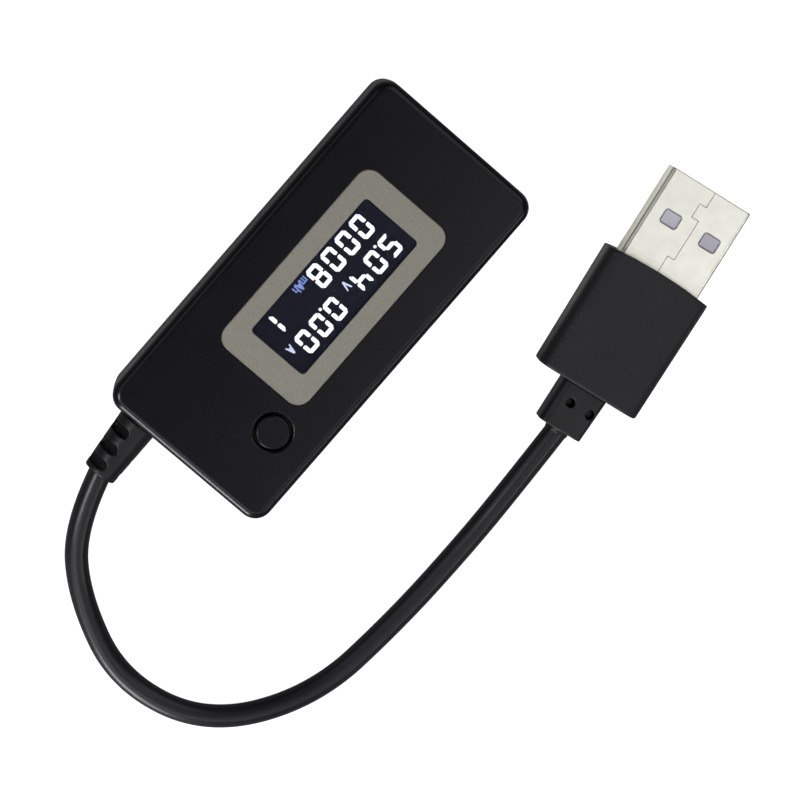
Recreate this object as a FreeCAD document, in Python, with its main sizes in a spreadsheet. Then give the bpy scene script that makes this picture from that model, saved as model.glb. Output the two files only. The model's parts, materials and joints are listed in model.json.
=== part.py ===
"""A USB power meter: a snap-fit case with a display, a button and a socket, and a short cord to a plug.

The frame's origin is the bottom centre of the case. +X runs from the socket to the cord, +Y is the top of
the displayed text, and +Z comes out of the display. All lengths are in millimetres.
"""
import FreeCAD, Part
import math
import os

import Sketcher

SIZES = {
    # Case: two shells, split at the parting height
    "CaseLength": 54.3,
    "CaseWidth": 25.6,
    "CaseHeight": 13.0,
    "PartingHeight": 6.3,
    "WallThickness": 1.4,
    "CornerRadius": 2.4,
    "BottomRounding": 1.9,
    "BottomInset": 0.18,
    "TopRounding": 1.2,
    "SmallBevel": 0.12,
    "LipThickness": 0.65,
    "LipHeight": 0.9,
    "FitGap": 0.1,
    "SnapLength": 8.0,
    "SnapHeight": 0.4,
    "SnapProud": 0.2,
    # Bezel plate and window, let into the top shell
    "BezelLeft": -17.3,
    "BezelRight": 12.45,
    "BezelHalfWidth": 7.2,
    "BezelRadius": 2.1,
    "BezelThickness": 0.8,
    "BezelSunk": 0.05,
    "WindowLeft": -13.8,
    "WindowRight": 8.6,
    "WindowHalfWidth": 4.45,
    "WindowRadius": 0.6,
    "WindowFlange": 0.6,
    "WindowFlangeThickness": 0.45,
    "WindowSunk": 0.12,
    # Display stack, measured up from the holder's floor
    "HolderFloor": 9.0,
    "HolderSkin": 0.6,
    "GuideThickness": 0.8,
    "GlassThickness": 0.55,
    "PolariserThickness": 0.1,
    "GlassHalfWidth": 6.1,
    # Button
    "ButtonX": 16.55,
    "ButtonY": 6.26,
    "ButtonHole": 5.0,
    "ButtonDiameter": 4.4,
    "ButtonProud": 0.2,
    "ButtonRounding": 0.25,
    "ButtonHoleRounding": 0.3,
    "ButtonStemLow": 8.25,
    "ButtonStemDiameter": 2.6,
    "ButtonFlangeLow": 10.7,
    "ButtonFlangeDiameter": 6.4,
    # Tact switch under the button; heights are above the board
    "TactWidth": 6.0,
    "TactHeight": 2.9,
    "TactWellFloor": 0.8,
    "TactWellDiameter": 4.6,
    "TactPinX": 3.2,
    "TactPinY": 2.25,
    "TactCoverSheet": 0.2,
    # Circuit board
    "BoardLow": 2.0,
    "BoardThickness": 1.2,
    "BoardLeft": -25.3,
    "BoardRight": 22.6,
    "BoardHalfWidth": 11.2,
    "PostX": 21.2,
    "PostBackX": -10.5,
    "PostY": 10.0,
    "PinDiameter": 1.3,
    # USB-A socket
    "SocketWidth": 13.1,
    "SocketHeight": 5.72,
    "SocketLength": 14.0,
    "SocketTabX": -19.0,
    "SocketTabY": 6.4,
    "SheetMetal": 0.3,
    "TongueThickness": 1.84,
    "ContactPitchInner": 2.0,
    "ContactPitchOuter": 7.0,
    "ContactWidth": 1.0,
    # Cord and the two strain reliefs
    "CordDiameter": 3.1,
    "GlandY": -7.0,
    "GlandHeading": 3.0,
    "ReliefLength": 8.75,
    "ReliefBase": 5.4,
    "ReliefTip": 4.5,
    "ReliefGap": 0.4,
    "ReliefFlangeDiameter": 6.0,
    "ReliefSlotWidth": 1.3,
    "ReliefSlotFloor": 1.3,
    "ReliefSlotReach": 1.15,
    "NeckDiameter": 4.0,
    # USB-A plug: its frame sits at the back of the overmold and looks along the plug
    "PlugX": -13.39,
    "PlugY": 34.14,
    "PlugAxisHeight": 4.0,
    "PlugHeading": 189.2,
    "OvermoldLength": 17.5,
    "OvermoldMiddle": -0.2,
    "OvermoldFront": 15.3,
    "OvermoldBack": 14.9,
    "OvermoldThickness": 8.0,
    "OvermoldBow": 0.45,
    "OvermoldRounding": 2.2,
    "PlugWidth": 12.0,
    "PlugThickness": 4.5,
    "PlugRadius": 0.6,
    "PlugMiddle": -0.24,
    "PlugExposed": 13.0,
    "PlugBuried": 6.0,
    "PlugWindowLength": 2.15,
    "PlugWindowWidth": 2.6,
    "PlugWindowRadius": 0.5,
    "PlugWindowMiddle": -0.57,
    "PlugWindowOffset": 2.97,
    "PlugWindowBack": 5.95,
    "PlugPadGap": 0.22,
    "BlockLength": 6.3,
    "BlockMiddle": -0.1,
    "BlockWidth": 6.5,
    "BlockThickness": 5.8,
    "BlockRadius": 1.2,
    "BlockLean": 0.15,
    "BlockTaper": 0.1,
    "BlockRecess": 1.25,
    "BlockRecessFloor": 1.1,
    "CollarLength": 0.6,
}

CORD_ROUTE = [
    (35.3, -6.6, 6.25),
    (43.3, -4.45, 5.5),
    (50.4, 2.3, 3.4),
    (55.9, 13.7, 1.9),
    (52.9, 26.5, 1.7),
    (40.8, 34.8, 1.65),
    (25.8, 36.3, 1.65),
    (12.0, 36.4, 2.1),
    (1.5, 35.8, 3.3),
    (-7.2, 35.2, 4.0),
]

doc = FreeCAD.newDocument("usb_power_meter")


# ---------------------------------------------------------------- sizes and expressions

class Size:
    """A number together with the spreadsheet expression that drives it."""

    def __init__(self, value, text):
        self.value = value
        self.text = text

    def join(self, sign, other, value):
        return Size(value, f"({self.text} {sign} {as_size(other).text})")

    def __add__(self, other):
        return self.join("+", other, self.value + as_size(other).value)

    def __sub__(self, other):
        return self.join("-", other, self.value - as_size(other).value)

    def __mul__(self, other):
        return self.join("*", other, self.value * as_size(other).value)

    def __truediv__(self, other):
        return self.join("/", other, self.value / as_size(other).value)

    def __neg__(self):
        return Size(-self.value, f"(0 - {self.text})")


def as_size(item):
    """A plain number joins in as a constant."""
    if isinstance(item, Size):
        return item
    return Size(float(item), f"({item})")


def size(name):
    return Size(SIZES[name], f"Sizes.{name}")


def bind(item, prop, wanted):
    """Drives a property from the spreadsheet."""
    item.setExpression(prop, as_size(wanted).text)


def make_sheet():
    sheet = doc.addObject("Spreadsheet::Sheet", "Sizes")
    for row, (name, value) in enumerate(SIZES.items(), start=1):
        sheet.set(f"A{row}", name)
        sheet.set(f"B{row}", str(value))
        sheet.setAlias(f"B{row}", name)
    doc.recompute()


# ---------------------------------------------------------------- sketches

def sketch_on(body, name, role, offset=0):
    """A sketch on one of the body's own origin planes, moved along that plane's normal."""
    sketch = body.newObject("Sketcher::SketchObject", name)
    plane = [item for item in body.Origin.OriginFeatures if item.Role == role][0]
    sketch.AttachmentSupport = [(plane, "")]
    sketch.MapMode = "FlatFace"
    bind(sketch, "AttachmentOffset.Base.z", offset)
    return sketch


def pin_coordinate(sketch, kind, geometry, point, wanted):
    """Fixes one coordinate of a point, on the axis when it is zero."""
    wanted = as_size(wanted)
    if wanted.value == 0:
        axis = -2 if kind == "DistanceX" else -1
        sketch.addConstraint(Sketcher.Constraint("PointOnObject", geometry, point, axis))
        return
    index = sketch.addConstraint(Sketcher.Constraint(kind, -1, 1, geometry, point, wanted.value))
    bind(sketch, f"Constraints[{index}]", wanted)


def add_polygon(sketch, corners):
    """A closed outline of straight lines through the corners, each corner driven by the sheet."""
    points = [FreeCAD.Vector(as_size(x).value, as_size(y).value, 0) for x, y in corners]
    lines = []
    for start, end in zip(points, points[1:] + points[:1]):
        lines.append(sketch.addGeometry(Part.LineSegment(start, end), False))
    for line, following in zip(lines, lines[1:] + lines[:1]):
        sketch.addConstraint(Sketcher.Constraint("Coincident", line, 2, following, 1))
    for line, (x, y) in zip(lines, corners):
        pin_coordinate(sketch, "DistanceX", line, 1, x)
        pin_coordinate(sketch, "DistanceY", line, 1, y)


def add_rectangle(sketch, left, right, low, high):
    add_polygon(sketch, [(left, low), (right, low), (right, high), (left, high)])


def add_rounded_rectangle(sketch, left, right, low, high, radius):
    """Four lines and four equal tangent arcs."""
    x0, x1 = as_size(left).value, as_size(right).value
    y0, y1 = as_size(low).value, as_size(high).value
    r = as_size(radius).value
    centres = [(x1 - r, y0 + r), (x1 - r, y1 - r), (x0 + r, y1 - r), (x0 + r, y0 + r)]
    ends = [((x0 + r, y0), (x1 - r, y0)), ((x1, y0 + r), (x1, y1 - r)),
            ((x1 - r, y1), (x0 + r, y1)), ((x0, y1 - r), (x0, y0 + r))]
    ring = []
    for turn, (start, end) in enumerate(ends):
        line = Part.LineSegment(FreeCAD.Vector(*start, 0), FreeCAD.Vector(*end, 0))
        ring.append(sketch.addGeometry(line, False))
        circle = Part.Circle(FreeCAD.Vector(*centres[turn], 0), FreeCAD.Vector(0, 0, 1), r)
        first = (turn - 1) * math.pi / 2
        ring.append(sketch.addGeometry(Part.ArcOfCircle(circle, first, first + math.pi / 2), False))
    for item, following in zip(ring, ring[1:] + ring[:1]):
        sketch.addConstraint(Sketcher.Constraint("Tangent", item, 2, following, 1))
    bottom, first_arc, right_line, _, top, _, left_line, _ = ring
    sketch.addConstraint(Sketcher.Constraint("Horizontal", bottom))
    sketch.addConstraint(Sketcher.Constraint("Horizontal", top))
    sketch.addConstraint(Sketcher.Constraint("Vertical", right_line))
    sketch.addConstraint(Sketcher.Constraint("Vertical", left_line))
    for arc in ring[3::2]:
        sketch.addConstraint(Sketcher.Constraint("Equal", first_arc, arc))
    pin_coordinate(sketch, "DistanceX", left_line, 1, left)
    pin_coordinate(sketch, "DistanceX", right_line, 1, right)
    pin_coordinate(sketch, "DistanceY", bottom, 1, low)
    pin_coordinate(sketch, "DistanceY", top, 1, high)
    index = sketch.addConstraint(Sketcher.Constraint("Radius", first_arc, r))
    bind(sketch, f"Constraints[{index}]", radius)


def add_circle(sketch, x, y, diameter):
    centre = FreeCAD.Vector(as_size(x).value, as_size(y).value, 0)
    radius = as_size(diameter).value / 2
    circle = sketch.addGeometry(Part.Circle(centre, FreeCAD.Vector(0, 0, 1), radius), False)
    pin_coordinate(sketch, "DistanceX", circle, 3, x)
    pin_coordinate(sketch, "DistanceY", circle, 3, y)
    index = sketch.addConstraint(Sketcher.Constraint("Diameter", circle, radius * 2))
    bind(sketch, f"Constraints[{index}]", diameter)


# ---------------------------------------------------------------- features

def new_body(label):
    body = doc.addObject("PartDesign::Body", label)
    body.Label = label
    return body


def pad(body, sketch, height):
    feature = body.newObject("PartDesign::Pad", f"{sketch.Name}_pad")
    feature.Profile = sketch
    bind(feature, "Length", height)
    doc.recompute()
    return feature


def pocket(body, sketch, depth, upward=True):
    """A cut from the sketch along its normal; it has to remove material."""
    before = body.Shape.Volume
    feature = body.newObject("PartDesign::Pocket", f"{sketch.Name}_pocket")
    feature.Profile = sketch
    feature.Reversed = upward
    bind(feature, "Length", depth)
    doc.recompute()
    if not body.Shape.Volume < before - 1e-6:
        raise RuntimeError(f"{sketch.Name} cuts nothing")
    return feature


def revolve(body, sketch, axis):
    feature = body.newObject("PartDesign::Revolution", f"{sketch.Name}_turned")
    feature.Profile = sketch
    feature.ReferenceAxis = (sketch, [axis])
    feature.Angle = 360
    doc.recompute()
    return feature


def edges_where(shape, test):
    """The names of the edges whose every end point and middle pass the test."""
    names = []
    for index, edge in enumerate(shape.Edges, start=1):
        middle = edge.valueAt((edge.FirstParameter + edge.LastParameter) / 2)
        if all(test(point) for point in [middle] + [vertex.Point for vertex in edge.Vertexes]):
            names.append(f"Edge{index}")
    return names


def round_edges(body, test, radius, kind="Fillet"):
    """A fillet or chamfer on the edges that pass the test."""
    base = body.Tip
    names = edges_where(base.Shape, test)
    if not names:
        raise RuntimeError(f"{body.Label}: no edges to round")
    feature = body.newObject(f"PartDesign::{kind}", f"{base.Name}_{kind.lower()}")
    feature.Base = (base, names)
    bind(feature, "Radius" if kind == "Fillet" else "Size", radius)
    doc.recompute()
    return feature


def at_height(height):
    return lambda point: abs(point.z - as_size(height).value) < 1e-4


def block(label, x, y, z):
    """A box between the given low and high sides."""
    box = doc.addObject("Part::Box", label)
    box.Label = label
    for prop, axis, (low, high) in (("Length", "x", x), ("Width", "y", y), ("Height", "z", z)):
        bind(box, prop, as_size(high) - low)
        bind(box, f"Placement.Base.{axis}", low)
    return box


def post(label, x, y, low, high, diameter):
    """An upright cylinder."""
    cylinder = doc.addObject("Part::Cylinder", label)
    cylinder.Label = label
    bind(cylinder, "Radius", as_size(diameter) / 2)
    bind(cylinder, "Height", as_size(high) - low)
    for axis, place in (("x", x), ("y", y), ("z", low)):
        bind(cylinder, f"Placement.Base.{axis}", place)
    return cylinder


def joined(label, pieces, kind="Part::MultiFuse"):
    """One fused solid, or with Part::Compound a group of separate solids."""
    result = doc.addObject(kind, label)
    result.Label = label
    if kind == "Part::Compound":
        result.Links = pieces
    else:
        result.Shapes = pieces
        result.Refine = True
    return result


def minus(label, base, tool):
    result = doc.addObject("Part::Cut", label)
    result.Label = label
    result.Base = base
    result.Tool = tool
    return result


def place(item, x, y, z, heading):
    """Puts a piece at a point, turned about the vertical; the sheet drives both."""
    item.Placement = FreeCAD.Placement(FreeCAD.Vector(0, 0, 0), FreeCAD.Rotation(FreeCAD.Vector(0, 0, 1), 1))
    for axis, where in (("x", x), ("y", y), ("z", z)):
        bind(item, f"Placement.Base.{axis}", where)
    bind(item, "Placement.Rotation.Angle", heading)
    return item


# ---------------------------------------------------------------- case

def case_outline(sketch, inset):
    half_length = size("CaseLength") / 2 - inset
    half_width = size("CaseWidth") / 2 - inset
    radius = size("CornerRadius") - inset
    add_rounded_rectangle(sketch, -half_length, half_length, -half_width, half_width, radius)


def cut_socket_mouth(body):
    """The opening in the end wall that the USB-A socket looks out of."""
    half_width = size("SocketWidth") / 2 + 0.15
    low = size("BoardLow") + size("BoardThickness") - 0.15
    sketch = sketch_on(body, f"{body.Label}_mouth", "YZ_Plane", -size("CaseLength") / 2 - 1)
    add_rectangle(sketch, -half_width, half_width, low, low + size("SocketHeight") + 0.3)
    pocket(body, sketch, size("WallThickness") + 1.5)


def cut_gland(body):
    """The round hole in the other end wall, half in each shell, for the strain relief's neck."""
    inner_face = size("CaseLength") / 2 - size("WallThickness") - 0.5
    sketch = sketch_on(body, f"{body.Label}_gland", "YZ_Plane", inner_face)
    add_circle(sketch, size("GlandY"), size("PartingHeight"), size("NeckDiameter") + 0.4)
    pocket(body, sketch, size("WallThickness") + 1.5)


def snap_ribs(label, proud, height):
    """Four small ribs outside the lip, two on each long side."""
    face = size("CaseWidth") / 2 - size("LipThickness") - size("FitGap")
    low = size("PartingHeight") + size("LipHeight") / 2 - as_size(height) / 2
    ribs = []
    for side, facing in enumerate((-1, 1)):
        for place_along, centre in enumerate((-12, 12)):
            depth = (face - 0.2, face + proud) if facing == 1 else (-face - proud, -face + 0.2)
            along = (as_size(centre) - size("SnapLength") / 2, as_size(centre) + size("SnapLength") / 2)
            ribs.append(block(f"{label}_{side}_{place_along}", along, depth, (low, low + height)))
    return joined(label, ribs, "Part::Compound")


def board_posts():
    """Posts that hold the circuit board off the floor, each with a locating pin."""
    posts = []
    for end, x in enumerate((size("PostBackX"), size("PostX"))):
        for side, y in enumerate((-size("PostY"), size("PostY"))):
            posts.append(post(f"post_{end}_{side}", x, y, 1.0, size("BoardLow"), 2.4))
            posts.append(post(f"pin_{end}_{side}", x, y, 1.0, 3.5, size("PinDiameter")))
    return posts


def make_bottom_shell():
    """The tray: its walls lean out a little from the floor to the rim, and a lip stands inside the rim."""
    body = new_body("bottom_tray")
    outer = sketch_on(body, "bottom_outer", "XY_Plane")
    case_outline(outer, size("BottomInset"))
    walls = pad(body, outer, size("PartingHeight"))
    walls.TaperAngle = math.degrees(math.atan(SIZES["BottomInset"] / SIZES["PartingHeight"]))
    doc.recompute()
    round_edges(body, at_height(0), size("BottomRounding"))
    round_edges(body, at_height(size("PartingHeight")), size("SmallBevel"), "Chamfer")
    lip = sketch_on(body, "bottom_lip", "XY_Plane", size("PartingHeight"))
    case_outline(lip, size("LipThickness") + size("FitGap"))
    pad(body, lip, size("LipHeight"))
    inside = sketch_on(body, "bottom_inside", "XY_Plane", size("WallThickness"))
    case_outline(inside, size("WallThickness"))
    pocket(body, inside, size("PartingHeight"))
    cut_socket_mouth(body)
    cut_gland(body)
    ribs = snap_ribs("snap_ribs", size("SnapProud"), size("SnapHeight"))
    joined("bottom_shell", [body, ribs] + board_posts())


def cut_lip_rebate(body):
    """The step inside the rim that drops over the bottom shell's lip."""
    rebate = sketch_on(body, "top_rebate", "XY_Plane", size("PartingHeight"))
    case_outline(rebate, size("LipThickness"))
    pocket(body, rebate, size("LipHeight") + size("FitGap"))


def cut_bezel_seat(body):
    seat = sketch_on(body, "bezel_seat", "XY_Plane", size("CaseHeight") - size("BezelThickness"))
    half = size("BezelHalfWidth")
    add_rounded_rectangle(seat, size("BezelLeft"), size("BezelRight"), -half, half, size("BezelRadius"))
    pocket(body, seat, 2)
    opening = sketch_on(body, "display_opening", "XY_Plane", size("CaseHeight") - 3)
    half = size("WindowHalfWidth") + size("WindowFlange") + 0.2
    reach = size("WindowFlange") + 0.2
    add_rectangle(opening, size("WindowLeft") - reach, size("WindowRight") + reach, -half, half)
    pocket(body, opening, 4)


def cut_button_hole(body):
    hole = sketch_on(body, "button_hole", "XY_Plane", size("CaseHeight") - 3)
    add_circle(hole, size("ButtonX"), size("ButtonY"), size("ButtonHole"))
    pocket(body, hole, 4)
    centre = FreeCAD.Vector(SIZES["ButtonX"], SIZES["ButtonY"], SIZES["CaseHeight"])
    round_edges(body, lambda point: abs(point.distanceToPoint(centre) - SIZES["ButtonHole"] / 2) < 1e-3,
                size("ButtonHoleRounding"))


def make_top_shell():
    body = new_body("top_cover")
    outer = sketch_on(body, "top_outer", "XY_Plane", size("PartingHeight"))
    case_outline(outer, 0)
    pad(body, outer, size("CaseHeight") - size("PartingHeight"))
    round_edges(body, at_height(size("CaseHeight")), size("TopRounding"))
    round_edges(body, at_height(size("PartingHeight")), size("SmallBevel"), "Chamfer")
    inside = sketch_on(body, "top_inside", "XY_Plane", size("PartingHeight"))
    case_outline(inside, size("WallThickness"))
    pocket(body, inside, size("CaseHeight") - size("PartingHeight") - size("WallThickness"))
    cut_lip_rebate(body)
    cut_bezel_seat(body)
    cut_button_hole(body)
    cut_socket_mouth(body)
    cut_gland(body)
    grooves = snap_ribs("snap_grooves", size("SnapProud") + size("FitGap"), size("SnapHeight") + 0.1)
    minus("top_shell", body, grooves)


def make_bezel_plate():
    body = new_body("bezel_plate")
    gap = 0.08
    base = size("CaseHeight") - size("BezelThickness")
    plate = sketch_on(body, "bezel_outline", "XY_Plane", base)
    half = size("BezelHalfWidth") - gap
    left, right = size("BezelLeft") + gap, size("BezelRight") - gap
    add_rounded_rectangle(plate, left, right, -half, half, size("BezelRadius") - gap)
    pad(body, plate, size("BezelThickness") - size("BezelSunk"))
    round_edges(body, at_height(size("CaseHeight") - size("BezelSunk")), size("SmallBevel"), "Chamfer")
    opening = sketch_on(body, "bezel_opening", "XY_Plane", base - 1)
    half = size("WindowHalfWidth")
    add_rounded_rectangle(opening, size("WindowLeft"), size("WindowRight"), -half, half, size("WindowRadius"))
    pocket(body, opening, 3)


def make_window_pane():
    """A clear pane that fills the bezel's opening and hooks under it with a flange."""
    body = new_body("window_pane")
    gap = 0.05
    thickness = size("WindowFlangeThickness")
    low = size("CaseHeight") - size("BezelThickness") - thickness
    reach = size("WindowFlange") - gap
    flange = sketch_on(body, "window_flange", "XY_Plane", low)
    half = size("WindowHalfWidth") + reach
    add_rectangle(flange, size("WindowLeft") - reach, size("WindowRight") + reach, -half, half)
    pad(body, flange, thickness)
    face = sketch_on(body, "window_face", "XY_Plane", low)
    half = size("WindowHalfWidth") - gap
    left, right = size("WindowLeft") + gap, size("WindowRight") - gap
    add_rounded_rectangle(face, left, right, -half, half, size("WindowRadius") - gap)
    pad(body, face, thickness + size("BezelThickness") - size("WindowSunk"))


# ---------------------------------------------------------------- display

def glass_sides():
    """The display glass reaches a little past the window at both ends."""
    return size("WindowLeft") - 1.2, size("WindowRight") + 1.2


def make_display():
    left, right = glass_sides()
    half = size("GlassHalfWidth")
    contact_ledge = half - 1.5
    guide_low = size("HolderFloor") + size("HolderSkin")
    rear_low = guide_low + size("GuideThickness")
    front_low = rear_low + size("GlassThickness")
    polariser_low = front_low + size("GlassThickness")
    block("backlight_guide", (left + 0.4, right - 1.2), (-half + 0.2, contact_ledge - 0.1),
          (guide_low, rear_low - 0.02))
    block("lcd_rear_glass", (left, right), (-half, contact_ledge), (rear_low, front_low))
    block("lcd_front_glass", (left, right), (-half, half), (front_low, polariser_low))
    block("lcd_front_polariser", (left + 0.6, right - 0.6), (-half + 1.2, half - 1.2),
          (polariser_low, polariser_low + size("PolariserThickness")))
    block("lcd_connector_strip", (left + 2, right - 1.8), (contact_ledge + 0.15, half - 0.1),
          (board_top(), front_low))
    lights = []
    for index, y in enumerate((-3.2, 1.6)):
        lights.append(block(f"backlight_led_{index}", (right - 1.15, right - 0.15), (y - 1.0, y + 1.0),
                            (guide_low, guide_low + 0.7)))
    joined("backlight_leds", lights, "Part::Compound")


def make_lcd_holder():
    """A tray on four legs that carries the backlight and the glass, slotted for the connector strip."""
    body = new_body("lcd_holder")
    left, right = glass_sides()
    half = size("GlassHalfWidth")
    skin = size("HolderSkin")
    low = size("HolderFloor")
    tray = sketch_on(body, "holder_outline", "XY_Plane", low)
    outer_left, outer_right = left - skin - 0.05, right + skin + 0.05
    outer_half = half + skin + 0.05
    add_rectangle(tray, outer_left, outer_right, -outer_half, outer_half)
    pad(body, tray, 2.5)
    well = sketch_on(body, "holder_well", "XY_Plane", low + skin)
    add_rectangle(well, left - 0.05, right + 0.05, -half - 0.05, half + 0.05)
    pocket(body, well, 3)
    opening = sketch_on(body, "holder_opening", "XY_Plane", low - 1)
    add_rectangle(opening, left + 1.5, right - 1.5, -half + 1.5, half - 2.6)
    pocket(body, opening, 3)
    slot = sketch_on(body, "holder_slot", "XY_Plane", low - 1)
    add_rectangle(slot, left + 1.9, right - 1.7, half - 1.45, half + 0.02)
    pocket(body, slot, 3)
    legs = sketch_on(body, "holder_legs", "XY_Plane", board_top())
    for x in (outer_left + 3.4, outer_right - 1.4):
        for y in (-outer_half, outer_half - 0.6):
            add_rectangle(legs, x, x + 1.4, y, y + 0.6)
    pad(body, legs, low - board_top())


# ---------------------------------------------------------------- button and tact switch

def button_profile(body, name, steps):
    """Turns a stepped outline, given as (radius, height) corners, about the button's axis."""
    sketch = sketch_on(body, name, "XZ_Plane")
    add_polygon(sketch, steps)
    revolve(body, sketch, "V_Axis")


def place_on_button(item):
    return place(item, size("ButtonX"), size("ButtonY"), 0, 0)


def make_mode_button():
    """A round cap with a retaining flange under the roof and a stem that presses the switch."""
    body = new_body("mode_button")
    roof = size("CaseHeight") - size("WallThickness")
    top = size("CaseHeight") + size("ButtonProud")
    flange_low, flange_top = size("ButtonFlangeLow"), roof - 0.05
    stem, stem_low = size("ButtonStemDiameter") / 2, size("ButtonStemLow")
    flange = size("ButtonFlangeDiameter") / 2
    cap = size("ButtonDiameter") / 2
    steps = [(0, stem_low), (stem, stem_low), (stem, flange_low), (flange, flange_low), (flange, flange_top),
             (cap, flange_top), (cap, top), (0, top)]
    button_profile(body, "button_outline", steps)
    round_edges(body, at_height(top), size("ButtonRounding"))
    place_on_button(body)


def tact_floor():
    return board_top() + size("TactWellFloor")


def tact_pin_places():
    """Where the switch's four pins go through the board, from the button's axis."""
    return [(size("TactPinX") * x, size("TactPinY") * y) for x in (-1, 1) for y in (-1, 1)]


def make_tact_base():
    """The moulded base with its round well, and four pins that pass through the board."""
    half = size("TactWidth") / 2
    body = new_body("tact_base_mould")
    base = sketch_on(body, "tact_base_outline", "XY_Plane", board_top())
    add_rectangle(base, -half, half, -half, half)
    pad(body, base, size("TactHeight"))
    well = sketch_on(body, "tact_well", "XY_Plane", tact_floor())
    add_circle(well, 0, 0, size("TactWellDiameter"))
    pocket(body, well, size("TactHeight"))
    pins = []
    for index, (x, y) in enumerate(tact_pin_places()):
        pins.append(block(f"tact_pin_{index}", (x - 0.25, x + 0.25), (y - 0.35, y + 0.35),
                          (size("BoardLow") - 0.3, board_top() + 1)))
    place_on_button(joined("tact_switch_base", [body] + pins))


def make_tact_cover():
    """The sheet cover that holds the plunger in, folded down over two sides."""
    base_top = board_top() + size("TactHeight")
    sheet = size("TactCoverSheet")
    half = size("TactWidth") / 2
    side_low, side_high = half + 0.02, half + sheet
    skirt_half, skirt_depth = half - 0.4, 1.4
    body = new_body("tact_switch_cover")
    plate = sketch_on(body, "tact_plate", "XY_Plane", base_top)
    add_rectangle(plate, -half, half, -side_high, side_high)
    pad(body, plate, sheet)
    skirts = sketch_on(body, "tact_skirts", "XY_Plane", base_top - skirt_depth)
    add_rectangle(skirts, -skirt_half, skirt_half, -side_high, -side_low)
    add_rectangle(skirts, -skirt_half, skirt_half, side_low, side_high)
    pad(body, skirts, sheet / 2 + skirt_depth)
    hole = sketch_on(body, "tact_cover_hole", "XY_Plane", base_top - 1)
    add_circle(hole, 0, 0, 3.6)
    pocket(body, hole, 2)
    place_on_button(body)


def make_tact_plunger():
    body = new_body("tact_switch_plunger")
    base = board_top()
    steps = [(0, base + 1.4), (2.0, base + 1.4), (2.0, base + 2.8), (1.7, base + 2.8), (1.7, base + 5.0),
             (0, base + 5.0)]
    button_profile(body, "plunger_outline", steps)
    place_on_button(body)


def make_tact_dome():
    """A snap dome of thin spring steel, its rim on the well's floor."""
    floor = tact_floor()
    steps = [(2.1, floor), (2.15, floor + 0.08), (1.2, floor + 0.48), (0, floor + 0.55), (0, floor + 0.47),
             (1.15, floor + 0.4)]
    body = new_body("tact_switch_dome")
    button_profile(body, "dome_outline", steps)
    place_on_button(body)


# ---------------------------------------------------------------- circuit board

def board_top():
    return size("BoardLow") + size("BoardThickness")


def make_circuit_board():
    body = new_body("circuit_board")
    board = sketch_on(body, "board_outline", "XY_Plane", size("BoardLow"))
    half = size("BoardHalfWidth")
    add_rectangle(board, size("BoardLeft"), size("BoardRight"), -half, half)
    pad(body, board, size("BoardThickness"))
    holes = sketch_on(body, "board_holes", "XY_Plane", size("BoardLow") - 1)
    for x in (size("PostBackX"), size("PostX")):
        for y in (-size("PostY"), size("PostY")):
            add_circle(holes, x, y, size("PinDiameter") + 0.2)
    for x, y in tact_pin_places():
        add_circle(holes, size("ButtonX") + x, size("ButtonY") + y, 1.1)
    for y in contact_centres():
        add_circle(holes, socket_back() + 0.1, y, 1.3)
    for y in (-size("SocketTabY"), size("SocketTabY")):
        add_rectangle(holes, size("SocketTabX") - 1.3, size("SocketTabX") + 1.3, y - 0.35, y + 0.35)
    pocket(body, holes, 4)


def chip(label, x, y, length, width, height, pins, pitch, four_sides=False):
    """A moulded chip with flat leads on two sides, or on all four."""
    base = board_top()
    pieces = [block(f"{label}_mould", (x - length / 2, x + length / 2), (y - width / 2, y + width / 2),
                    (base + 0.1, base + 0.1 + height))]
    for index in range(pins):
        shift = (index - (pins - 1) / 2) * pitch
        pieces.append(block(f"{label}_lead_{index}", (x + shift - 0.17, x + shift + 0.17),
                            (y - width / 2 - 0.8, y + width / 2 + 0.8), (base, base + 0.2)))
        if four_sides:
            pieces.append(block(f"{label}_side_lead_{index}", (x - length / 2 - 0.8, x + length / 2 + 0.8),
                                (y + shift - 0.17, y + shift + 0.17), (base, base + 0.2)))
    joined(label, pieces)


def chip_row(label, height, places):
    """Small two-ended chips of one kind, as a group."""
    pieces = []
    for index, (x, y) in enumerate(places):
        pieces.append(block(f"{label}_{index}", (x - 0.8, x + 0.8), (y - 0.4, y + 0.4),
                            (board_top(), board_top() + height)))
    joined(label, pieces, "Part::Compound")


def make_components():
    chip("microcontroller", -3.5, -1.5, 7.0, 7.0, 1.4, 8, 0.8, four_sides=True)
    chip("memory_chip", 5.6, -3.4, 5.0, 3.9, 1.4, 4, 1.27)
    chip("voltage_regulator", 14.0, -3.0, 4.5, 2.5, 1.4, 3, 1.5)
    block("shunt_resistor", (10.7, 17.1), (-9.6, -6.4), (board_top(), board_top() + 0.7))
    chip_row("chip_capacitors", 0.8,
             [(-10.5, -2.5), (-10.5, 0.5), (4.6, 2.4), (7.2, 2.4), (11.5, 0.4), (16.5, 0.4)])
    chip_row("chip_resistors", 0.45,
             [(x, 8.8) for x in (-6.0, -3.0, 0.0, 3.0, 6.0, 9.0)] + [(-4.0, -8.8), (0.0, -8.8)])


# ---------------------------------------------------------------- USB-A socket

def contact_centres():
    inner = size("ContactPitchInner") / 2
    outer = size("ContactPitchOuter") / 2
    return [-outer, -inner, inner, outer]


def socket_front():
    return -size("CaseLength") / 2


def socket_back():
    return socket_front() + size("SocketLength")


def tongue_low():
    """The plug's own tongue takes the space below this height."""
    return board_top() + size("SocketHeight") / 2 + 0.04


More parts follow.
